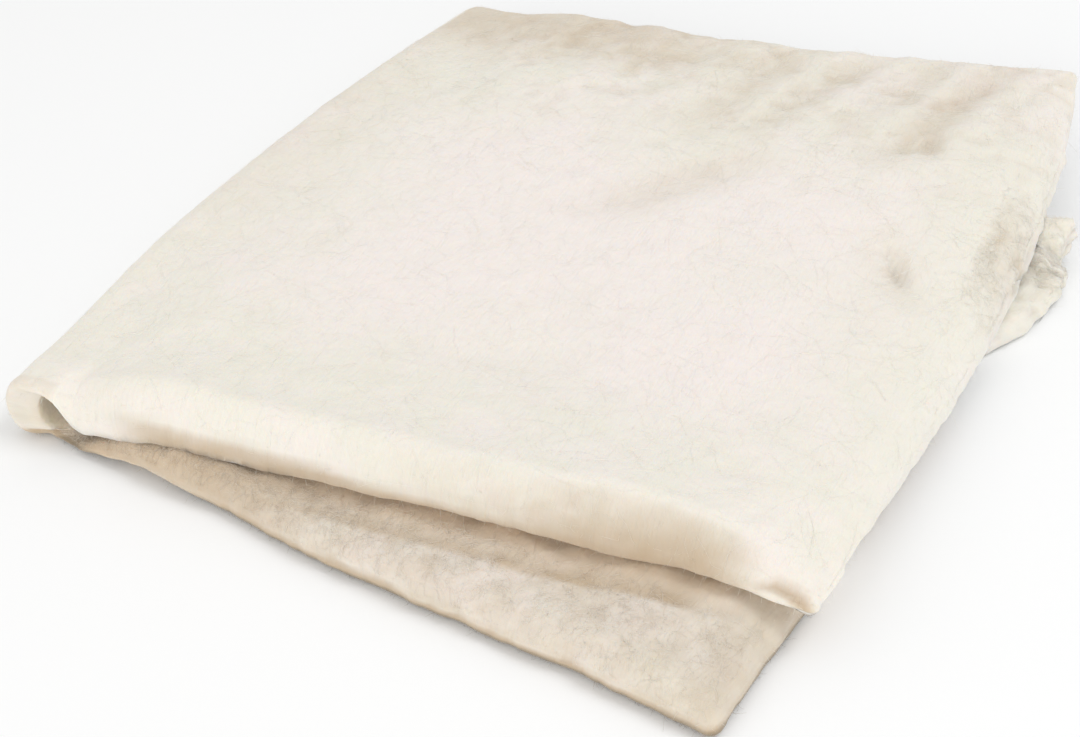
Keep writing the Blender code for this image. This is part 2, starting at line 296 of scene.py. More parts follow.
# Wrinkles and other valleys in the upper leaf, in millimetres: half width, then (x, y, depth) from
# the fold's front corner
MM = 0.001
WRINKLES = (
    (9.5, ((176, 306, 2.2), (172, 280, 2.6), (162, 232, 2), (159, 205, 0))),
    (8.5, ((209, 306, 1.8), (203, 288, 2.4), (190, 250, 2.2), (176, 212, 0))),
    (8.5, ((262, 308, 2.6), (255, 284, 3.2), (249, 267, 3.4),
           (244, 246, 3.4), (240, 229, 2.2), (226, 208, 0))),
    (5.5, ((246, 250, 2.8), (247, 231, 3), (254, 215, 0))),
    (11, ((196, 216, 0), (180, 193, 1.8), (158, 166, 1.6), (140, 146, 0))),
    (9, ((233, 306, 2), (229, 270, 1.6), (213, 236, 0))),
    (6, ((144, 306, 1.2), (141, 276, 1.4), (131, 244, 0))),
    (6, ((104, 306, 1), (100, 280, 1), (92, 256, 0))),
)
DIMPLE = (
    (3.8, ((250, 170, 0), (254, 162, 3.4), (258, 156, 5.2), (262, 149, 4.4), (267, 138, 0))),
    (9, ((249, 166, 1.2), (265, 141, 1.4))),
)
PIT = (
    (2.6, ((292.5, 184, 2.6), (294.5, 182, 2.6))),
)
CORNER_CRESCENT = (
    (1.3, ((264, 3, 0.2), (268.5, 3.6, 0.8), (272.2, 4.6, 1.2))),
    (2, ((272.2, 4.6, 1.2), (276.2, 4.4, 1.4), (279.9, 3.4, 1.4), (283, 1.2, 1.2))),
)
FAINT_CREASES = (
    (2.2, ((233, 35, 0), (244, 34, 0.7), (262, 38, 0))),
    (2.2, ((256, 9, 0), (260, 20, 0.9), (266, 32, 0))),
    (12, ((150, 62, 0), (166, 66, 1.1), (184, 64, 0))),
)
# All of them, each with the tint of painted shade it gets at a full depth; the wrinkles fade at the back
# edge
VALLEYS = (
    (WRINKLES, 0.42, 3.4),
    (DIMPLE, 0.42, 5.0),
    (FAINT_CREASES, 0.0, 1.0),
    (PIT, 0.5, 2.6),
    (CORNER_CRESCENT, 0.85, 1.2),
)


def ease(value):
    """0 up to 0, 1 from 1 on, and a smooth rise between."""
    value = np.clip(value, 0.0, 1.0)
    return value * value * (3.0 - 2.0 * value)


def mix(a, b, share):
    return a + (b - a) * share


def ramp(value, span):
    """0 up to the span's first value, 1 from its second on, and a smooth rise between."""
    start, end = span
    return ease((value - start) / (end - start))


def near(distance, reach):
    """1 at no distance, falling smoothly to 0 at the reach."""
    return ease(1.0 - distance / reach)


def fading(distance, amount_and_reach):
    """An amount that falls smoothly to 0 at its reach."""
    amount, reach = amount_and_reach
    return amount * near(distance, reach)


def rise(along, shape):
    """A smooth rise with its height, its place and its half length."""
    height, place, half_length = shape
    return height * near(np.abs(along - place), half_length)


def mitre(difference, width=MITRE_WIDTH):
    """0 beside one edge of a corner and 1 beside the other, changing smoothly on its diagonal."""
    return ease(0.5 + difference / width)


def across_arch(across):
    """A low arch across the mat's width: 0 at its sides and 1 half way."""
    return np.sin(np.pi * np.clip(across / MAT_WIDTH, 0.0, 1.0))


def at_fold_end(along):
    """1 at the fold's front end, where it gapes, and 0 from its reach on."""
    return near(along, FOLD_END_REACH)


def fold_radius(along):
    """Half the distance between the leaves' middles at the fold, larger away from its ends."""
    ends = mix(FOLD_RADIUS_FRONT, FOLD_RADIUS_BACK, np.clip(along / MAT_WIDTH, 0.0, 1.0))
    return ends + FOLD_SWELL * across_arch(along) + FOLD_END_OPENING * at_fold_end(along)


def fold_line(across):
    """The length at which the fold crosses this part of the mat."""
    return LOWER_LEAF_LENGTH + across * math.tan(FOLD_SKEW)


def bunching(length, across):
    """How much the lower leaf's back right corner is crumpled at a point of the mat."""
    return near(length, BUNCH_REACH) * near(MAT_WIDTH - across, BUNCH_REACH)


def lower_thickness(inward, along):
    plain = mix(FOLD_THICKNESS, LOWER_THICKNESS, ease(inward / FOLD_RUN))
    at_end = mix(FOLD_END_LOWER, LOWER_THICKNESS, ramp(inward, FOLD_END_LOWER_IN))
    return mix(plain, at_end, at_fold_end(along))


def upper_thickness(inward, along):
    plain = mix(FOLD_THICKNESS, UPPER_THICKNESS, ease(inward / FOLD_RUN))
    full = UPPER_THICKNESS + FRONT_FULLNESS
    at_end = mix(FOLD_END_UPPER, full, ramp(inward, FOLD_END_UPPER_IN))
    return mix(plain, at_end, at_fold_end(along))


def leaf_gap(inward, along):
    return LEAF_GAP - FOLD_END_GAP_LOSS * at_fold_end(along) * near(inward, EDGE_REACH)


def upper_lift(x, y, free_edge):
    """What the upper leaf rises or sags by, apart from lying on the lower one."""
    mouth = MOUTH_OPENING * near(y, MOUTH_DEPTH)
    mouth = mouth * near(np.abs(x - MOUTH_PLACE * UPPER_LEAF_LENGTH), MOUTH_HALF_LENGTH)
    sag = fading(free_edge, RIGHT_SAG) * across_arch(y)
    corner = fading(np.hypot(free_edge, y), CORNER_SAG)
    over_bunch = BUNCH_LIFT * near(np.hypot(free_edge, y - BUNCH_PLACE), BUNCH_REACH)
    from_corner = np.hypot(free_edge, MAT_WIDTH - y)
    back = fading(from_corner, BACK_LIFT) + fading(from_corner, BACK_CORNER_CURL)
    return mouth - sag - corner + over_bunch + back


def middle(length, across):
    """The folded mat's middle surface and its thickness at points of the flat mat."""
    from_fold = length - LOWER_LEAF_LENGTH
    turned = from_fold * math.cos(FOLD_SKEW) - across * math.sin(FOLD_SKEW)
    along = from_fold * math.sin(FOLD_SKEW) + across * math.cos(FOLD_SKEW)
    radius = fold_radius(along)
    half_arc = 0.5 * np.pi * radius
    upper = turned > 0.0
    angle = np.clip(turned, -half_arc, half_arc) / radius
    inward = radius * (1.0 - np.cos(angle)) + np.abs(turned) - np.minimum(np.abs(turned), half_arc)

    bunch = bunching(length, across)
    below = lower_thickness(inward, along)
    above = upper_thickness(inward, along)
    end_loss = fading(np.minimum(length, FLAT_LENGTH - length), END_THINNING)
    end_loss = end_loss + fading(np.hypot(FLAT_LENGTH - length, across), CORNER_THINNING)
    turn_share = 0.5 + 0.5 * np.sin(angle)
    flap = FLAP_RISE * at_fold_end(along) * ramp(inward, FOLD_END_UPPER_IN)
    flap = flap * ramp(inward, FLAP_RISE_END_IN)
    above = above - flap
    thickness = mix(below, above, turn_share) - end_loss + BUNCH_SWELL * bunch
    resting = below + leaf_gap(inward, along) + flap + 0.5 * above
    at_fold = 2.0 * radius + 0.5 * below
    at_end = ramp(inward, FOLD_END_UPPER_IN)
    lying = mix(at_fold, resting, mix(ease(inward / FOLD_RUN), at_end, at_fold_end(along)))
    z = mix(0.5 * (below - end_loss + BUNCH_SWELL * bunch), lying, turn_share)

    inward = inward - FOLD_BULGE * across_arch(along) * near(inward, FOLD_RUN)
    inward = inward + fading(along, FOLD_END_SETBACK) * near(inward, FOLD_RUN)
    x = along * math.sin(FOLD_SKEW) + inward * math.cos(FOLD_SKEW)
    y = along * math.cos(FOLD_SKEW) - inward * math.sin(FOLD_SKEW)
    place = leaf_moves(length, across, (x, y, z), upper)
    return np.stack(place, axis=-1), thickness


def leaf_moves(length, across, place, upper):
    """Moves a place on the folded middle surface as the two leaves sag, bulge, lift and bunch up."""
    x, y, z = place
    free_edge = FLAT_LENGTH - length
    leaning = MAT_WIDTH * (np.clip(across, 0.0, MAT_WIDTH) / MAT_WIDTH) ** RIGHT_BULGE_LEAN
    bulge = RIGHT_BULGE * across_arch(leaning) * near(free_edge, EDGE_REACH)
    setback = front_line(x) * near(across, FRONT_SETBACK_REACH)
    lift = rise(x, FRONT_LIFT) * near(across, FRONT_LIFT_REACH)

    bunch = bunching(length, across)
    near_lower_end = near(length, EDGE_REACH)
    tuck = rise(across, EDGE_TUCK) * near_lower_end
    swell = rise(across, BUNCH_BULGE) * near_lower_end
    curl = fading(np.hypot(length, MAT_WIDTH - across), BUNCH_CURL)
    drawn = fading(np.hypot(length, across), CORNER_DRAW)
    front_tuck = FRONT_TUCK * ramp(x, FRONT_TUCK_END_X) * ramp(x, FRONT_TUCK_X)
    front_tuck = front_tuck * near(across, EDGE_REACH)

    z = z + lift + np.where(upper, upper_lift(x, y, free_edge), curl)
    x = x + np.where(upper, bulge, swell - tuck - BUNCH_NARROWING * bunch)
    y = y + np.where(upper, setback, front_tuck - BUNCH_SHORTENING * bunch - drawn)
    return x, y, z


def front_line(x):
    """How far back the upper leaf's front edge lies."""
    return rise(x, FRONT_SETBACK)


def outward_normal(length, across, step=0.0008):
    """The middle surface's normal, towards the folded mat's outside."""
    down_length = middle(length + step, across)[0] - middle(length - step, across)[0]
    down_across = middle(length, across + step)[0] - middle(length, across - step)[0]
    normal = np.cross(down_length, down_across)
    return normal / np.linalg.norm(normal, axis=-1, keepdims=True)


def edge_stations():
    """Distances in from a cut edge, closest at the edge, that draw its rounding."""
    turn = np.linspace(0.0, 0.5 * np.pi, EDGE_RINGS + 1)
    return EDGE_STATION_REACH * (1.0 - np.cos(turn))


def spread(start, end, step):
    """Even stations after start, up to end."""
    return np.linspace(start, end, max(2, int(round((end - start) / step)) + 1))[1:]


def length_stations():
    edge = edge_stations()
    lower_end = LOWER_LEAF_LENGTH - FOLD_ZONE
    upper_start = LOWER_LEAF_LENGTH + FOLD_ZONE
    return np.concatenate([
        edge,
        spread(edge[-1], lower_end, LOWER_STEP),
        spread(lower_end, upper_start, FOLD_STEP),
        spread(upper_start, FLAT_LENGTH - edge[-1], UPPER_STEP),
        FLAT_LENGTH - edge[-2::-1],
    ])


def across_stations():
    edge = edge_stations()
    return np.concatenate([
        edge,
        spread(edge[-1], FRONT_ZONE, FRONT_STEP),
        spread(FRONT_ZONE, MAT_WIDTH - edge[-1], BACK_STEP),
        MAT_WIDTH - edge[-2::-1],
    ])


def skewed(length, across):
    """Moves stations along with the fold line, which meets the mat's sides askew."""
    shift = across * math.tan(FOLD_SKEW)
    lower = shift * length / LOWER_LEAF_LENGTH
    upper = shift * (FLAT_LENGTH - length) / UPPER_LEAF_LENGTH
    return length + np.where(length < LOWER_LEAF_LENGTH, lower, upper)


def unskewed(length, across):
    """The station that skewed() moved to this length."""
    shift = across * math.tan(FOLD_SKEW)
    lower = length / (1.0 + shift / LOWER_LEAF_LENGTH)
    upper = (length - shift * FLAT_LENGTH / UPPER_LEAF_LENGTH) / (1.0 - shift / UPPER_LEAF_LENGTH)
    return np.where(lower < LOWER_LEAF_LENGTH, lower, upper)


def rounded_corners(length, across):
    """Rounds the flat mat's corners; also gives how far in from its edge each point lies."""
    from_end = np.minimum(length, FLAT_LENGTH - length)
    from_side = np.minimum(across, MAT_WIDTH - across)
    p = np.clip(1.0 - from_end / CORNER_ROUND, 0.0, 1.0)
    q = np.clip(1.0 - from_side / CORNER_ROUND, 0.0, 1.0)
    p_round = p * np.sqrt(1.0 - 0.5 * q ** 2)
    q_round = q * np.sqrt(1.0 - 0.5 * p ** 2)
    in_corner = (p > 0.0) & (q > 0.0)
    from_edge = np.where(in_corner, CORNER_ROUND * (1.0 - np.hypot(p_round, q_round)),
                         np.minimum(from_end, from_side))
    toward_fold = np.where(length < 0.5 * FLAT_LENGTH, 1.0, -1.0)
    toward_middle = np.where(across < 0.5 * MAT_WIDTH, 1.0, -1.0)
    length = length + toward_fold * CORNER_ROUND * (p - p_round)
    across = across + toward_middle * CORNER_ROUND * (q - q_round)
    return length, across, np.maximum(from_edge, 0.0)


def cloud(rng, cell, points):
    """A smooth random field from -1 to 1 over 3-D points, changing over the distance cell."""
    size = 32
    lattice = rng.uniform(-1.0, 1.0, (size, size, size))
    place = points / cell + rng.uniform(0.0, size, 3)
    whole = np.floor(place).astype(int)
    share = ease(place - whole)
    i, j, k = (whole % size).T
    i1, j1, k1 = ((whole + 1) % size).T
    a, b, c = share.T
    low, high = (
        mix(mix(lattice[i, j, h], lattice[i1, j, h], a), mix(lattice[i, j1, h], lattice[i1, j1, h], a), b)
        for h in (k, k1)
    )
    return mix(low, high, c)


def layered(rng, layers, points):
    """The sum of some clouds, each with its height and its cell."""
    return sum(height * cloud(rng, cell, points) for height, cell in layers)


def creases(lines, x, y):
    """Depth of the valleys that run along the given lines; all in millimetres."""
    depth = np.zeros_like(x)
    for half_width, line in lines:
        for (x0, y0, d0), (x1, y1, d1) in zip(line, line[1:]):
            run = (x1 - x0) ** 2 + (y1 - y0) ** 2
            share = np.clip(((x - x0) * (x1 - x0) + (y - y0) * (y1 - y0)) / run, 0.0, 1.0)
            distance = np.hypot(x - mix(x0, x1, share), y - mix(y0, y1, share))
            depth = np.maximum(depth, mix(d0, d1, share) * np.exp(-(distance / half_width) ** 2))
    return depth


def vertex_normals(points, quads):
    """Smooth outward normals of a closed mesh of quads."""
    corners = [points[quads[:, k]] for k in range(4)]
    face = np.cross(corners[2] - corners[0], corners[3] - corners[1])
    total = np.zeros_like(points)
    for k in range(4):
        for axis in range(3):
            total[:, axis] += np.bincount(quads[:, k], face[:, axis], len(points))
    return total / np.maximum(np.linalg.norm(total, axis=1, keepdims=True), 1e-12)


def edge_rounding(length, across, x, outer):
    """How far in from the cut edge its rounding starts."""
    on_upper = length > fold_line(across)
    free_end = FLAT_LENGTH - length
    if outer:
        front = mix(UPPER_NOSE_LEFT, UPPER_NOSE_RIGHT, ramp(x, NOSE_X))
        at_back = mix(UPPER_NOSE_BACK, UPPER_NOSE_BACK_RIGHT, ramp(x, NOSE_BACK_X))
        upper = mix(UPPER_NOSE_END, front, mitre(free_end - across))
        upper = mix(upper, at_back, mitre(free_end - MAT_WIDTH + across))
        lower = LOWER_UNDER_ROUND
    else:
        upper = UPPER_UNDER_ROUND
        lower = LOWER_TOP_ROUND
    depth = np.where(on_upper, upper, lower)
    return mix(FOLD_EDGE_ROUND, depth, ramp(x, FOLD_ROUND_X))


class Grid:
    """The flat mat's grid of points, with an outer and an inner side that share the edge."""

    def __init__(self, lengths, acrosses):
        self.lengths = lengths
        self.acrosses = acrosses
        self.shape = (len(lengths), len(acrosses))
        length, across = np.meshgrid(lengths, acrosses, indexing="ij")
        self.length, self.across, self.from_edge = rounded_corners(skewed(length, across), across)

        rows, columns = self.shape
        self.outer = np.arange(rows * columns).reshape(self.shape)
        self.inner = self.outer.copy()
        inside = (rows - 2) * (columns - 2)
        self.inner[1:-1, 1:-1] = rows * columns + np.arange(inside).reshape(rows - 2, columns - 2)
        self.count = rows * columns + inside

        def corners(index):
            return [index[:-1, :-1], index[1:, :-1], index[1:, 1:], index[:-1, 1:]]

        outer = np.stack([c.ravel() for c in corners(self.outer)], axis=1)
        inner = np.stack([c.ravel() for c in corners(self.inner)[::-1]], axis=1)
        self.quads = np.concatenate([outer, inner])

    def gather(self, outer, inner):
        """One value a vertex from a grid for each side; the edge takes the outer side's."""
        flat_outer = outer.reshape(self.outer.size, -1)
        flat_inner = inner[1:-1, 1:-1].reshape(self.count - self.outer.size, -1)
        return np.concatenate([flat_outer, flat_inner]).squeeze()

    def side(self, values, outer):
        """A grid of one side's values."""
        return values[self.outer if outer else self.inner]


def ragged(rng, grid):
    """Moves the flat points near the cut edges in and out, as torn wool is."""
    share = near(grid.from_edge, RAGGED_REACH)
    flat = np.stack([grid.length, grid.across, np.zeros(grid.shape)], axis=-1).reshape(-1, 3)
    move = layered(rng, RAGGED_LAYERS, flat).reshape(grid.shape) * share
    from_end = np.minimum(grid.length, FLAT_LENGTH - grid.length)
    from_side = np.minimum(grid.across, MAT_WIDTH - grid.across)
    end_share = mitre(from_side - from_end, RAGGED_MITRE_WIDTH)
    grid.length = grid.length + move * end_share * np.sign(0.5 * FLAT_LENGTH - grid.length)
    grid.across = grid.across + move * (1.0 - end_share) * np.sign(0.5 * MAT_WIDTH - grid.across)


def hollow_shift(length, across, from_edge):
    """The fold's wall is thick at its front end, so the hollow inside it starts further in."""
    turned = (length - LOWER_LEAF_LENGTH) * math.cos(FOLD_SKEW) - across * math.sin(FOLD_SKEW)
    end = np.where(turned > 0.0, HOLLOW_FADE, HOLLOW_FADE_LOWER)
    fade = near(np.abs(turned) - HOLLOW_KEEP, end - HOLLOW_KEEP)
    return HOLLOW_SHIFT * fade * at_fold_end(across) * ease(from_edge / HOLLOW_LIP)


def edge_shares(grid, x, on_upper):
    """Where the cut edge lies in the mat's thickness: -1 at its inner side and 1 at its outer one."""
    free_end = FLAT_LENGTH - grid.length
    along_back = mitre(free_end - MAT_WIDTH + grid.across)
    near_corner = near(np.hypot(free_end, MAT_WIDTH - grid.across), BACK_CORNER_REACH)
    front = mix(UPPER_EDGE_SHARE_LEFT, UPPER_EDGE_SHARE, ramp(x, EDGE_SHARE_X))
    back = mix(UPPER_BACK_SHARE, UPPER_BACK_RIGHT_SHARE, ramp(x, BACK_SHARE_X))
    upper = mix(front, back, np.maximum(along_back, near_corner))
    return np.where(on_upper, upper, LOWER_EDGE_SHARE) * ramp(x, OFF_FOLD_X)


def plain_sides(grid):
    """The outer and inner side's points of the folded mat, without relief, and their half thickness."""
    centre, thickness = middle(grid.length, grid.across)
    x = centre[..., 0]
    on_upper = grid.length > fold_line(grid.across)
    drop = NOSE_DROP + rise(x, NOSE_DROP_RIGHT) * near(grid.across, 2.0 * NOSE_DROP_REACH)
    drop = np.where(on_upper, drop, 0.0) * ramp(x, OFF_FOLD_X)
    centre[..., 2] -= drop * near(grid.from_edge, NOSE_DROP_REACH)

    # At the fold's front end the flap's edge stands upright, whichever way its middle surface leans
    steep = np.where(on_upper, at_fold_end(grid.across) * ramp(x, STEEP_X), 0.0) * ramp(x, STEEP_END_X)
    normal = mix(outward_normal(grid.length, grid.across), (0.0, 0.0, 1.0), steep[..., None])
    normal = normal / np.linalg.norm(normal, axis=-1, keepdims=True)

    at_edge = edge_shares(grid, x, on_upper)
    sides = []
    for outer in (True, False):
        depth = edge_rounding(grid.length, grid.across, x, outer)
        rounding = np.sqrt(1.0 - np.clip(1.0 - grid.from_edge / depth, 0.0, 1.0) ** 2)
        half = 0.5 * thickness * mix(at_edge, 1.0 if outer else -1.0, rounding)
        side = centre + normal * half[..., None]
        if not outer:
            side[..., 0] += hollow_shift(grid.length, grid.across, grid.from_edge)
        sides.append((side, half))
    return sides


def coarse_stations(stations, cell):
    """Some of the stations, at least a cell apart, with the first and the last."""
    kept = [stations[0]]
    for station in stations[1:-1]:
        if station - kept[-1] >= cell and stations[-1] - station >= 0.5 * cell:
            kept.append(station)
    return np.array(kept + [stations[-1]])


def carry_weights(fine, coarse):
    """Smooth weights that carry values from coarse stations to fine ones."""
    place = np.interp(fine, coarse, np.arange(len(coarse)))
    whole = np.minimum(place.astype(int), len(coarse) - 2)
    a = place - whole
    parts = (
        -a ** 3 + 2.0 * a ** 2 - a,
        3.0 * a ** 3 - 5.0 * a ** 2 + 2.0,
        -3.0 * a ** 3 + 4.0 * a ** 2 + a,
        a ** 3 - a ** 2,
    )
    weights = np.zeros((len(fine), len(coarse)))
    for offset, part in zip((-1, 0, 1, 2), parts):
        spot = np.clip(whole + offset, 0, len(coarse) - 1)
        np.add.at(weights, (np.arange(len(fine)), spot), 0.5 * part)
    return weights


def let_go(points, quads):
    """Where the closed mesh comes to lie when it is filled with a little air and let go as cloth."""
    soft = new_mesh("settling", points, quads)
    cloth = soft.modifiers.new("Cloth", "CLOTH")
    cloth.settings.quality = 6
    cloth.settings.tension_stiffness = 15.0
    cloth.settings.compression_stiffness = 15.0
    cloth.settings.bending_stiffness = 0.5
    cloth.settings.use_pressure = True
    cloth.settings.uniform_pressure_force = CLOTH_PRESSURE
    cloth.settings.shrink_min = -CLOTH_SPREAD
    cloth.settings.effector_weights.gravity = 0.0
    cloth.collision_settings.use_collision = False
    cloth.point_cache.frame_end = CLOTH_FRAMES
    scene = bpy.context.scene
    for step in range(1, CLOTH_FRAMES + 1):
        scene.frame_set(step)
    shown = soft.evaluated_get(bpy.context.evaluated_depsgraph_get())
    moved = np.empty(3 * len(points), dtype=np.float32)
    shown.data.vertices.foreach_get("co", moved)
    bpy.data.objects.remove(soft, do_unlink=True)
    scene.frame_set(1)
    return moved.reshape(-1, 3).astype(float)


def settling(grid):
    """How far each point of the outer and inner side moves when the mat settles as cloth."""
    stations = (coarse_stations(some, CLOTH_CELL) for some in (grid.lengths, grid.acrosses))
    coarse = Grid(*stations)
    (outer, _), (inner, _) = plain_sides(coarse)
    points = coarse.gather(outer, inner)
    normals = vertex_normals(points, coarse.quads)
    moved = let_go(points, coarse.quads) - points
    out = (moved * normals).sum(axis=1)
    is_outer = np.arange(coarse.count) < coarse.outer.size
    lower = coarse.gather(coarse.length, coarse.length) < LOWER_LEAF_LENGTH
    top = is_outer & ~lower
    usual = np.where(top, np.median(out[top]), np.median(out[~top]))
    most = np.where(is_outer, CLOTH_CAP, CLOTH_FACING_CAP)
    along = moved - out[:, None] * normals
    moved = along + normals * np.minimum(out - usual, most)[:, None]
    size = np.maximum(np.linalg.norm(moved, axis=1, keepdims=True), 1e-9)
    moved = moved * (CLOTH_CAP * np.tanh(size / CLOTH_CAP) / size)
    down_length = carry_weights(grid.lengths, coarse.lengths)
    down_across = carry_weights(grid.acrosses, coarse.acrosses)
    sides = [coarse.side(moved, outer) for outer in (True, False)]
    return [np.einsum("ir,rcd,jc->ijd", down_length, side, down_across) for side in sides]


class Zones:
    """Where each vertex of the plain fine mat lies, and which part of the surface it belongs to."""

    def __init__(self, grid, points, half):
        x, y = self.x, self.y = points[:, 0], points[:, 1]
        fields = (grid.length, grid.across, grid.from_edge)
        length, across, self.from_edge = (grid.gather(field, field) for field in fields)
        self.flat = np.stack([length, across, 2.0 * half], axis=1)
        self.on_upper = length > fold_line(across) + FOLD_MARGIN
        self.on_lower = length < fold_line(across) - FOLD_MARGIN
        self.is_outer = np.arange(grid.count) < grid.outer.size
        self.top = self.is_outer & self.on_upper
        self.seen_inside = ~self.is_outer & self.on_lower & ((y < SEEN_FRONT) | (x > SEEN_RIGHT))

        self.back = np.where(self.top, ramp(y, BACK_Y) * ramp(x, BACK_X), 0.0)
        self.by_back_edge = mix(BACK_EDGE_SHARE, 1.0, ease((MAT_WIDTH - y) / BACK_EDGE_REACH))
        self.torn = np.where(self.top, rise(y, TORN) * ramp(x, TORN_X), 0.0)
        bunch = ease(WAD_GROWTH * bunching(length, across))
        self.wad = np.maximum(bunch, ramp(x, WAD_X) * ramp(y, WAD_Y)) * self.on_lower


def valleys(zones):
    """How deep the top's wrinkles, dimple, creases and pit are in metres, and the shade painted into
    them.
    """
    depth, tint = 0.0, 0.0
    for lines, full_tint, full_depth in VALLEYS:
        valley = np.where(zones.top, creases(lines, zones.x / MM, zones.y / MM), 0.0)
        if lines is WRINKLES:
            valley = valley * zones.by_back_edge
        depth = depth + valley * MM
        tint = tint + full_tint * valley / full_depth
    return depth, tint


def wool_relief(rng, zones):
    """How far the wool stands off the plain surface, and the shade painted into its small cavities."""
    slanted = zones.flat.copy()
    slanted[:, 0] = (zones.x * math.cos(RIDGE_SLANT) - zones.y * math.sin(RIDGE_SLANT)) * RIDGE_SQUEEZE
    slanted[:, 1] = zones.y
    ridge = zones.back * zones.by_back_edge * layered(rng, RIDGE_LAYERS, slanted)

    rough = np.where(zones.top, ROUGH_TOP, np.where(zones.seen_inside, ROUGH_SEEN_INSIDE, ROUGH_PLAIN))
    rough = rough + ROUGH_BACK * zones.back + ROUGH_TORN * zones.torn
    relief = BROAD_SHARE * rough * layered(rng, BROAD_LAYERS, zones.flat)
    fine = layered(rng, FINE_LAYERS, zones.flat)
    crumple = sum(
        share * (np.abs(cloud(rng, cell, zones.flat)) - CRUMPLE_MEAN) for share, cell in CRUMPLE_FOLDS
    )
    crumple = crumple + layered(rng, CRUMPLE_GRAIN, zones.flat)
    relief += rough * fine + CRUMPLE_HEIGHT * crumple * zones.wad
    relief += zones.torn * (layered(rng, TORN_LAYERS, zones.flat) - TORN_DEPTH)

    cavity_shade = mix(CAVITY_PAINTED_SHADE, CAVITY_PAINTED_SHADE_INSIDE, zones.seen_inside) * (rough - ROUGH_PLAIN)
    cavity_shade = cavity_shade * ease(-fine / CAVITY_DEPTH)
    cavity_shade += WAD_CAVITY_PAINTED_SHADE * zones.wad * ease(-crumple / WAD_CAVITY_DEPTH)
    return relief + ridge, cavity_shade


def build_mat_points(rng, grid):
    """Every vertex of the fine mat, with its flat place, its colour and its normal."""
    moves = settling(grid)
    ragged(rng, grid)
    sides = plain_sides(grid)
    points = grid.gather(*(side + move for (side, _), move in zip(sides, moves)))
    zones = Zones(grid, points, grid.gather(*(half for _, half in sides)))
    depth, tint = valleys(zones)
    relief, cavity_shade = wool_relief(rng, zones)

    normals = vertex_normals(points, grid.quads)
    points = points + normals * relief[:, None]
    points[:, 2] = np.maximum(points[:, 2] - depth, 0.0)
    slope = np.where(zones.is_outer, ramp(zones.x, SLOPE_X) * ramp(zones.y, SLOPE_Y), 0.0)
    back_left = np.where(zones.top, ramp(zones.x, BACK_LEFT_X) * ramp(zones.y, BACK_LEFT_Y), 0.0)
    # Most of the tint is painted shade: in the valleys and cavities, on slopes, on the torn spot and on
    # most of the cut edges; the back gets a faint tint
    tint = np.maximum.reduce([
        tint + BACK_TINT * zones.back,
        SLOPE_PAINTED_SHADE * slope,
        BACK_LEFT_PAINTED_SHADE * back_left,
        TORN_SPOT_PAINTED_SHADE * zones.torn,
        cut_edge_tint_and_painted_shade(points, normals, zones),
    ])
    shade = wool_shade(rng, points, zones, tint + cavity_shade)
    return points, zones.flat, shade, vertex_normals(points, grid.quads)


def wool_shade(rng, points, zones, tint):
    """Each point's colour: pale or cream wool, painted warm light inside the mouth, tan and brown, which
    are mostly painted shade, and painted light in the fold's hollow.
    """
    x, y = points[:, 0], points[:, 1]
    mid_leaf = ramp(x, MID_X) * ramp(x, MID_END_X) * ramp(y, MID_Y) * ramp(y, MID_END_Y)
    cream = 1.0 - mid_leaf + layered(rng, CREAM_LAYERS, zones.flat)
    grain = cloud(rng, CREAM_GRAIN_CELL, zones.flat) - CREAM_GRAIN_MEAN
    cream = np.clip(cream + CREAM_GRAIN * (1.0 - mid_leaf) * grain, 0.0, 1.0)
    mottle = 1.0 + layered(rng, MOTTLE_LAYERS, zones.flat)
    mottle = mix(mottle, 1.0, MOTTLE_LOSS * ramp(tint, MOTTLE_LOSS_TINT))

    x, y = zones.x, zones.y
    # Painted warm light inside the mouth
    warm_light = ramp(y - front_line(x), WARM_BAND) * ramp(x, WARM_END_X)
    warm_light = np.where(zones.on_lower, warm_light, ramp(zones.from_edge, WARM_LIP))
    warm_light = np.where(~zones.is_outer & (y < WARM_DEPTH), warm_light, 0.0)
    # Painted light in the hollow of the fold's end
    hollow_light = np.where(zones.on_lower, ramp(x, HOLLOW_LOWER_X), ramp(x, HOLLOW_UPPER_X))
    hollow_light = hollow_light * ramp(zones.from_edge, HOLLOW_EDGE)
    hollow_light = np.where(~zones.is_outer & (y < HOLLOW_DEPTH), hollow_light, 0.0)

    shade = np.broadcast_to(PALE, points.shape)
    steps = (
        (CREAM, cream),
        (PAINTED_WARM_LIGHT, warm_light),
        (TAN, np.clip(tint * mottle, 0.0, 1.0)),
        (BROWN, np.clip(tint - 1.0, 0.0, 1.0)),
        (PAINTED_HOLLOW_LIGHT, hollow_light),
    )
    for colour, share in steps:
        shade = mix(shade, colour, share[:, None])
    return shade


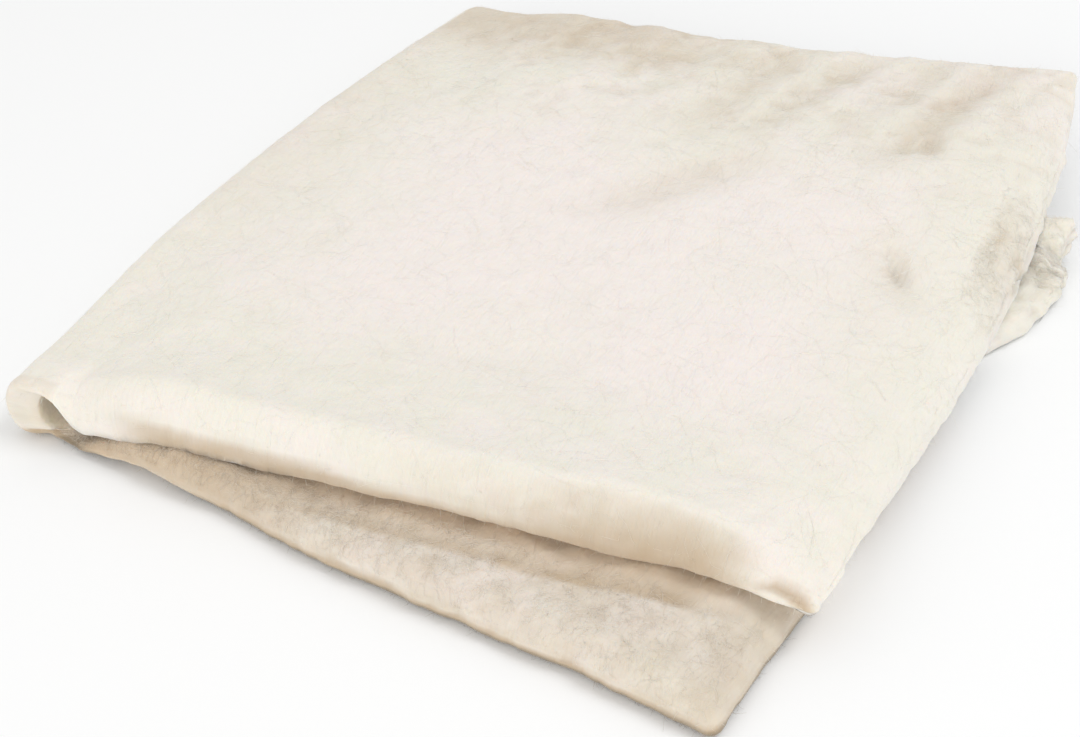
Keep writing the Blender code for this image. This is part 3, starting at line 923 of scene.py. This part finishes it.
def cut_edge_tint_and_painted_shade(points, normals, zones):
    """Painted shade on the upper leaf's front face, in the mouth, along the lower strip's foot, on the
    fold's end wall and at the strip's right end, together with the lower strip's tan, which darkens
    towards the left, and a faint tint on the wad.
    """
    x, y, z = points.T
    to_right = ramp(x, TO_RIGHT_X)
    low_part = FACE_RIGHT_LEAST + (1.0 - FACE_RIGHT_LEAST) * ramp(z, FACE_RIGHT_Z)
    low_part = mix(ramp(z, FACE_Z), low_part, to_right)
    face = FACE_PAINTED_SHADE * ramp(-normals[:, 1], FACE_TURN) * low_part * ramp(x, FACE_X) * ramp(x, FACE_END_X)
    face = np.where(zones.on_upper & (y < STRIP_DEPTH), face, 0.0)

    behind = y - front_line(x)
    mouth = ramp(behind, MOUTH_BAND) * ramp(x, MOUTH_END_X) * mix(MOUTH_PAINTED_SHADE_LEFT, 1.0, to_right)
    deep = mix(MOUTH_DEEP_LEFT, MOUTH_DEEP_RIGHT, to_right)
    mouth = mouth * mix(1.0, deep, ramp(behind, MOUTH_DEEP))
    mouth = np.where(~zones.is_outer & zones.on_lower, mouth, 0.0)

    left, middle_part, right = STRIP_TINTS
    strip = mix(mix(left, middle_part, ramp(x, STRIP_X[0])), right, ramp(x, STRIP_X[1]))
    foot = sum(tint * ramp(z, span) for tint, span in zip(FOOT_PAINTED_SHADES, FOOT_Z))
    strip = np.maximum(strip, foot) * ramp(x, STRIP_START_X)
    strip = np.where(zones.on_lower & (y < STRIP_DEPTH) & (x < STRIP_END), strip, 0.0)

    wall = WALL_PAINTED_SHADES[0] + WALL_PAINTED_SHADES[1] * ramp(z, WALL_Z)
    wall = np.where((x < WALL_X) & (y < WALL_Y), wall, 0.0)
    corner = np.where(zones.on_lower & (y < CORNER_DEPTH), CORNER_PAINTED_SHADE * ramp(x, CORNER_X), 0.0)
    return np.maximum.reduce([face, mouth, strip, WAD_TINT * zones.wad, corner, wall])


def new_mesh(name, points, faces):
    mesh = bpy.data.meshes.new(name)
    mesh.from_pydata(points.tolist(), [], faces.tolist())
    mesh.shade_smooth()
    thing = bpy.data.objects.new(name, mesh)
    bpy.context.scene.collection.objects.link(thing)
    return thing


def add_uv(mesh, flat):
    """A UV map that holds the flat mat's own metres, the inner side beside the outer."""
    spot = np.empty(len(mesh.loops), dtype=np.int32)
    mesh.loops.foreach_get("vertex_index", spot)
    uv = flat[spot][:, :2]
    uv[len(uv) // 2:, 1] += INNER_SIDE_V
    layer = mesh.uv_layers.new(name="flat")
    layer.data.foreach_set("uv", uv.astype(np.float32).ravel())


def add_shade(mesh, shade):
    layer = mesh.attributes.new("shade", "FLOAT_COLOR", "POINT")
    with_alpha = np.concatenate([shade, np.ones((len(shade), 1))], axis=1)
    layer.data.foreach_set("color", with_alpha.astype(np.float32).ravel())


class Side:
    """One side of the finished mat, looked up by flat place."""

    def __init__(self, grid, outer, points, normals, shade):
        self.grid = grid
        fields = [grid.side(field, outer) for field in (points, normals, shade)]
        self.fields = np.concatenate(fields, axis=-1)

    def at(self, length, across):
        """The point, the outward normal and the shade at each flat place."""
        rows, columns = self.grid.shape
        row = np.interp(unskewed(length, across), self.grid.lengths, np.arange(rows))
        column = np.interp(across, self.grid.acrosses, np.arange(columns))
        i = np.clip(row.astype(int), 0, rows - 2)
        j = np.clip(column.astype(int), 0, columns - 2)
        a = (row - i)[..., None]
        b = (column - j)[..., None]
        low = mix(self.fields[i, j], self.fields[i + 1, j], a)
        high = mix(self.fields[i, j + 1], self.fields[i + 1, j + 1], a)
        found = mix(low, high, b)
        return found[..., :3], found[..., 3:6], found[..., 6:]


def tubes(paths, up, radius):
    """Closed three-sided tubes along paths, thinner at both ends; gives points and triangles."""
    count, steps = paths.shape[:2]
    along = np.gradient(paths, axis=1)
    along /= np.maximum(np.linalg.norm(along, axis=-1, keepdims=True), 1e-9)
    sideways = np.cross(along, up[:, None, :])
    sideways /= np.maximum(np.linalg.norm(sideways, axis=-1, keepdims=True), 1e-9)
    upright = np.cross(sideways, along)
    taper = TAPER_LEAST + (1.0 - TAPER_LEAST) * np.sin(np.pi * np.linspace(0.06, 0.94, steps))
    reach = (radius[:, None] * taper)[..., None]
    turns = [0.5 * math.pi + 2.0 * math.pi * k / 3 for k in range(3)]
    rings = [paths + reach * (math.cos(t) * sideways + math.sin(t) * upright) for t in turns]
    points = np.stack(rings, axis=2).reshape(-1, 3)
    last = 3 * (steps - 1)
    triangles = []
    for ring in range(0, last, 3):
        for k in range(3):
            a, b = ring + k, ring + (k + 1) % 3
            triangles += [(a, b, b + 3), (a, b + 3, a + 3)]
    triangles += [(0, 2, 1), (last, last + 1, last + 2)]
    start = 3 * steps * np.arange(count)[:, None, None]
    return points, (np.array(triangles)[None] + start).reshape(-1, 3)


def walks(rng, length, across, reach, curl):
    """Wandering lines over the flat mat that start at the given places."""
    count, moves = len(length), LAID_STEPS - 1
    heading = rng.uniform(0.0, 2.0 * np.pi, (count, 1))
    heading = heading + np.cumsum(rng.normal(0.0, curl, (count, moves)), axis=1)
    pace = reach[:, None] / moves
    start = np.zeros((count, 1))
    u, v = (
        first[:, None] + np.concatenate([start, np.cumsum(pace * turn(heading), axis=1)], axis=1)
        for first, turn in ((length, np.cos), (across, np.sin))
    )
    return np.clip(u, EDGE_GAP, FLAT_LENGTH - EDGE_GAP), np.clip(v, EDGE_GAP, MAT_WIDTH - EDGE_GAP)


def laid(side, u, v, lift):
    """Strands that lie on the mat with both ends worked into it."""
    point, normal, shade = side.at(u, v)
    arch = np.sin(np.pi * np.linspace(0.0, 1.0, u.shape[1])) - 0.12
    return point + normal * (lift[:, None] * arch)[..., None], normal[:, u.shape[1] // 2], shade[:, 0]


def standing(rng, side, length, across, reach, lean, steps=NAP_STEPS):
    """Strands that are rooted in the mat and stand off it with a free, curling end."""
    point, normal, shade = side.at(length, across)
    turn = rng.normal(0.0, 1.0, point.shape)
    turn /= np.linalg.norm(turn, axis=1, keepdims=True)
    heading = normal * (1.0 - lean)[:, None] + turn * lean[:, None]
    heading /= np.linalg.norm(heading, axis=1, keepdims=True)
    curl = rng.normal(0.0, 0.35, point.shape) - (0.0, 0.0, 0.20)
    share = np.linspace(0.0, 1.0, steps)[None, :, None]
    path = point[:, None] - 0.0004 * normal[:, None]
    path = path + reach[:, None, None] * (share * heading[:, None] + share ** 2 * curl[:, None])
    return path, turn, shade


def strand_piece(name, groups, lighten, shift, material):
    """One piece made of groups of strands, each with its paths, up directions, shades and radii."""
    points, triangles, shades = [], [], []
    for paths, up, shade, radius in groups:
        spots, faces = tubes(paths, up, radius)
        triangles.append(faces + sum(len(p) for p in points))
        points.append(spots)
        # Each strand takes the colour under its start, painted shade included, lifted towards BRIGHT
        shades.append(np.repeat(mix(shade, BRIGHT, lighten), len(spots) // len(paths), axis=0))
    points = np.concatenate(points)
    points[:, 2] = np.maximum(points[:, 2], 0.0001)
    piece = new_mesh(name, points + shift, np.concatenate(triangles))
    add_shade(piece.data, np.concatenate(shades))
    piece.data.materials.append(material)
    return piece


def top_strands(rng, outer):
    """Long thin strands on the top. Places are drawn for twice as many, and the first half is used."""
    drawn = 2 * TOP_STRANDS
    length = rng.uniform(LOWER_LEAF_LENGTH, FLAT_LENGTH, drawn)[:TOP_STRANDS]
    across = MAT_WIDTH * rng.uniform(0.0, 1.0, drawn)[:TOP_STRANDS] ** 0.8
    reach = np.minimum(0.007 * np.exp(rng.normal(0.5, 0.55, TOP_STRANDS)), LONGEST_TOP_STRAND)
    u, v = walks(rng, length, across, reach, 0.33)
    lift = 0.00015 + 0.0005 * rng.uniform(0.0, 1.0, TOP_STRANDS) ** 2
    return [(*laid(outer, u, v, lift), rng.uniform(0.000020, 0.000045, TOP_STRANDS))]


def strip_places(rng, count):
    """Flat places on the part of the lower leaf that the upper one leaves open at the front."""
    length = rng.uniform(0.004, LOWER_LEAF_LENGTH - 0.02, count)
    open_width = 0.002 + 0.030 * (1.0 - length / LOWER_LEAF_LENGTH)
    return length, 0.002 + open_width * rng.uniform(0.0, 1.0, count)


def lump_places(rng, count):
    """Flat places on the bunched corner."""
    return 0.030 * rng.uniform(0.0, 1.0, count), MAT_WIDTH - 0.075 * rng.uniform(0.0, 1.0, count)


def short_strands(rng, side, places, reach, curl, lift, radius):
    """Short lying strands that start at the given places, with sizes drawn from the given ranges."""
    count = len(places[0])
    u, v = walks(rng, *places, rng.uniform(*reach, count), curl)
    return (*laid(side, u, v, rng.uniform(*lift, count)), rng.uniform(*radius, count))


def front_strands(rng, outer, inner):
    """The short strands of the strip at the front, of the bunched corner and of the torn spot."""
    places = strip_places(rng, STRIP_STRANDS)
    fine = short_strands(rng, inner, places, (0.002, 0.008), 0.4, (0.0003, 0.0008), (0.00003, 0.00006))
    places = lump_places(rng, LUMP_STRANDS)
    ranges = ((0.003, 0.009), 0.50, (0.0003, 0.0012), (0.00003, 0.00007))
    lump = short_strands(rng, inner, places, *ranges)
    length = FLAT_LENGTH - 0.014 * rng.uniform(0.0, 1.0, TEAR_STRANDS)
    places = length, rng.uniform(0.145, 0.215, TEAR_STRANDS)
    return [fine, lump, short_strands(rng, outer, places, *ranges)]


def edge_strands(rng, outer, inner):
    """Short strands that stick out all round the mat's cut edges."""
    groups = []
    count = EDGE_STRANDS
    for side in (outer, inner):
        round_mat = rng.uniform(0.0, 2.0 * (FLAT_LENGTH + MAT_WIDTH), count)
        depth = 0.0005 + 0.005 * rng.uniform(0.0, 1.0, count) ** 2
        on_side = round_mat < 2.0 * FLAT_LENGTH
        along_side = round_mat % FLAT_LENGTH
        along_end = (round_mat - 2.0 * FLAT_LENGTH) % MAT_WIDTH
        past_half = round_mat > 2.0 * FLAT_LENGTH + MAT_WIDTH
        far = np.where(on_side, round_mat > FLAT_LENGTH, past_half)
        length = np.where(on_side, along_side, np.where(far, FLAT_LENGTH - depth, depth))
        across = np.where(on_side, np.where(far, MAT_WIDTH - depth, depth), along_end)
        reach = np.minimum(0.0012 * np.exp(rng.normal(0.0, 0.5, count)), LONGEST_EDGE_STRAND)
        lean = rng.uniform(0.3, 0.8, count)
        path = standing(rng, side, length, across, reach, lean, EDGE_STEPS)
        groups.append((*path, rng.uniform(0.000025, 0.000055, count)))
    return groups


def nap_strands(rng, outer, inner):
    """The fine nap of the mat's open faces."""
    count = TOP_NAP
    length = rng.uniform(LOWER_LEAF_LENGTH - 0.01, FLAT_LENGTH, count)
    across = MAT_WIDTH * rng.uniform(0.0, 1.0, count) ** 0.8
    reach = rng.uniform(0.0008, 0.0020, count)
    top = standing(rng, outer, length, across, reach, rng.uniform(0.4, 0.9, count))
    top = (*top, rng.uniform(0.000025, 0.00005, count))
    count = STRIP_NAP
    reach = rng.uniform(0.0010, 0.0028, count)
    places = strip_places(rng, count)
    strip = standing(rng, inner, *places, reach, rng.uniform(0.4, 0.9, count))
    return [top, (*strip, rng.uniform(0.00003, 0.00006, count))]


def place_in_frame(points):
    """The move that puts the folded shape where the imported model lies."""
    low, high = points.min(axis=0), points.max(axis=0)
    box = np.array(CAD_BOX)
    shift = 0.5 * (box[0] + box[1]) - 0.5 * (low + high)
    shift[2] = 0.0
    return shift


def add_camera(corner):
    """The photo's view. corner is the fold's front corner, which the camera was fitted from."""
    azimuth, elevation, roll = map(math.radians, (CAMERA_AZIMUTH, CAMERA_ELEVATION, CAMERA_ROLL))
    lens = bpy.data.cameras.new("photo_camera")
    lens.lens = LENS_MM
    lens.sensor_width = SENSOR_MM
    camera = bpy.data.objects.new("photo_camera", lens)
    turn = Matrix.Rotation(azimuth, 4, "Z") @ Matrix.Rotation(0.5 * math.pi - elevation, 4, "X")
    turn = turn @ Matrix.Rotation(-roll, 4, "Z")
    camera.matrix_world = Matrix.Translation(Vector(CAMERA_PLACE) + corner) @ turn
    bpy.context.scene.collection.objects.link(camera)
    bpy.context.scene.camera = camera


def add_area_light(name, place, size, power, colour):
    """A round soft light that faces the mat."""
    light = bpy.data.lights.new(name, "AREA")
    light.shape = "DISK"
    light.size = size
    light.energy = power
    light.color = colour
    lamp = bpy.data.objects.new(name, light)
    lamp.location = place
    lamp.rotation_euler = (-Vector(place)).to_track_quat("-Z", "Y").to_euler()
    bpy.context.scene.collection.objects.link(lamp)


def add_studio():
    """Soft light from above and the front, and a plain pale floor."""
    scene = bpy.context.scene
    scene.view_settings.view_transform = "Standard"
    world = bpy.data.worlds.new("studio")
    world.use_nodes = True
    sky = world.node_tree.nodes["Background"]
    sky.inputs["Color"].default_value = SKY_COLOUR
    sky.inputs["Strength"].default_value = SKY_STRENGTH
    scene.world = world
    for light in LIGHTS:
        add_area_light(*light)

    bpy.ops.mesh.primitive_plane_add(size=FLOOR_SIZE, location=(0.0, 0.0, -FLOOR_DROP))
    floor = bpy.context.object
    floor.name = "floor"
    material = bpy.data.materials.new("pale_floor")
    material.use_nodes = True
    shader = material.node_tree.nodes["Principled BSDF"]
    shader.inputs["Base Color"].default_value = FLOOR_COLOUR
    shader.inputs["Roughness"].default_value = 0.9
    shader.inputs["Specular IOR Level"].default_value = 0.1
    floor.data.materials.append(material)
    return floor


class Nodes:
    """The nodes of one wool material, with short names for adding and joining them."""

    def __init__(self, material):
        material.use_nodes = True
        self.tree = material.node_tree
        self.shader = self.tree.nodes["Principled BSDF"]
        for name, value in WOOL.items():
            self.shader.inputs[name].default_value = value

    def add(self, kind, **settings):
        node = self.tree.nodes.new("ShaderNode" + kind)
        for name, value in settings.items():
            setattr(node, name, value)
        return node

    def put(self, socket, value):
        """Joins a node's output to the socket, or sets the socket to a plain value."""
        if isinstance(value, bpy.types.NodeSocket):
            self.tree.links.new(value, socket)
        else:
            socket.default_value = value

    def maths(self, operation, a, b):
        node = self.add("Math", operation=operation)
        self.put(node.inputs[0], a)
        self.put(node.inputs[1], b)
        return node.outputs["Value"]

    def blend(self, share, a, b):
        node = self.add("Mix", data_type="RGBA")
        self.put(node.inputs["Factor"], share)
        self.put(node.inputs["A"], a)
        self.put(node.inputs["B"], b)
        return node.outputs["Result"]

    def noise(self, place, scale, detail=2.0, stretch=(1.0, 1.0, 1.0), turn=0.0):
        """Noise over the flat mat; with a stretch it draws streaks that lie at the angle turn."""
        mapping = self.add("Mapping", vector_type="POINT")
        self.put(mapping.inputs["Vector"], place)
        mapping.inputs["Rotation"].default_value = (0.0, 0.0, turn)
        mapping.inputs["Scale"].default_value = stretch
        texture = self.add("TexNoise")
        self.put(texture.inputs["Vector"], mapping.outputs["Vector"])
        texture.inputs["Scale"].default_value = scale
        texture.inputs["Detail"].default_value = detail
        return texture.outputs["Fac"]


def glass_wool_material():
    """Off-white needled glass wool: matt, a little translucent, with fine crossing streaks."""
    material = bpy.data.materials.new("glass_wool")
    nodes = Nodes(material)
    place = nodes.add("UVMap", uv_map="flat").outputs["UV"]
    # The shade attribute holds the wool's colour with its painted shade and painted light
    shade = nodes.add("Attribute", attribute_name="shade").outputs["Color"]
    specks = nodes.maths("MULTIPLY", nodes.noise(place, SPECKLE_SCALE, 2.0), SPECKLE_SHARE)
    colour = nodes.blend(specks, shade, (*TAN, 1.0))

    streaks = [nodes.noise(place, STREAK_SCALE, 1.0, STREAK_STRETCH, turn) for turn in STREAK_TURNS]
    height = nodes.maths("MAXIMUM", nodes.maths("MAXIMUM", streaks[0], streaks[1]), streaks[2])
    height = nodes.maths("ADD", height, nodes.noise(place, GRAIN_SCALE, 1.0))
    bump = nodes.add("Bump")
    bump.inputs["Strength"].default_value = BUMP_STRENGTH
    bump.inputs["Distance"].default_value = BUMP_DISTANCE
    nodes.put(bump.inputs["Height"], height)
    nodes.put(nodes.shader.inputs["Normal"], bump.outputs["Normal"])
    nodes.put(nodes.shader.inputs["Base Color"], colour)
    nodes.shader.inputs["Subsurface Weight"].default_value = MAT_SUBSURFACE
    return material


def loose_wool_material():
    """The same wool for single strands, in their own shade and without translucence."""
    material = bpy.data.materials.new("loose_glass_wool")
    nodes = Nodes(material)
    shade = nodes.add("Attribute", attribute_name="shade").outputs["Color"]
    nodes.put(nodes.shader.inputs["Base Color"], shade)
    return material


def main():
    rng = np.random.default_rng(SEED)
    grid = Grid(length_stations(), across_stations())
    shift = place_in_frame(np.concatenate([side[0].reshape(-1, 3) for side in plain_sides(grid)]))
    points, flat, shade, normals = build_mat_points(rng, grid)
    mat = new_mesh("fiberglass_mat_soft", points + shift, grid.quads)
    add_uv(mat.data, flat)
    add_shade(mat.data, shade)
    mat.data.materials.append(glass_wool_material())

    outer = Side(grid, True, points, normals, shade)
    inner = Side(grid, False, points, normals, shade)
    loose = loose_wool_material()
    groups = (
        ("top_strands", top_strands(rng, outer), TOP_LIGHTEN),
        ("front_strands", front_strands(rng, outer, inner), FRONT_LIGHTEN),
        ("edge_strands", edge_strands(rng, outer, inner), EDGE_LIGHTEN),
        ("nap", nap_strands(rng, outer, inner), NAP_LIGHTEN),
    )
    strands = [strand_piece(*group, shift, loose) for group in groups]
    for piece in [mat] + strands:
        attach(piece, "root")
        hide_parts("fiberglass_mat")

    floor = add_studio()
    add_camera(Vector(shift))


main()
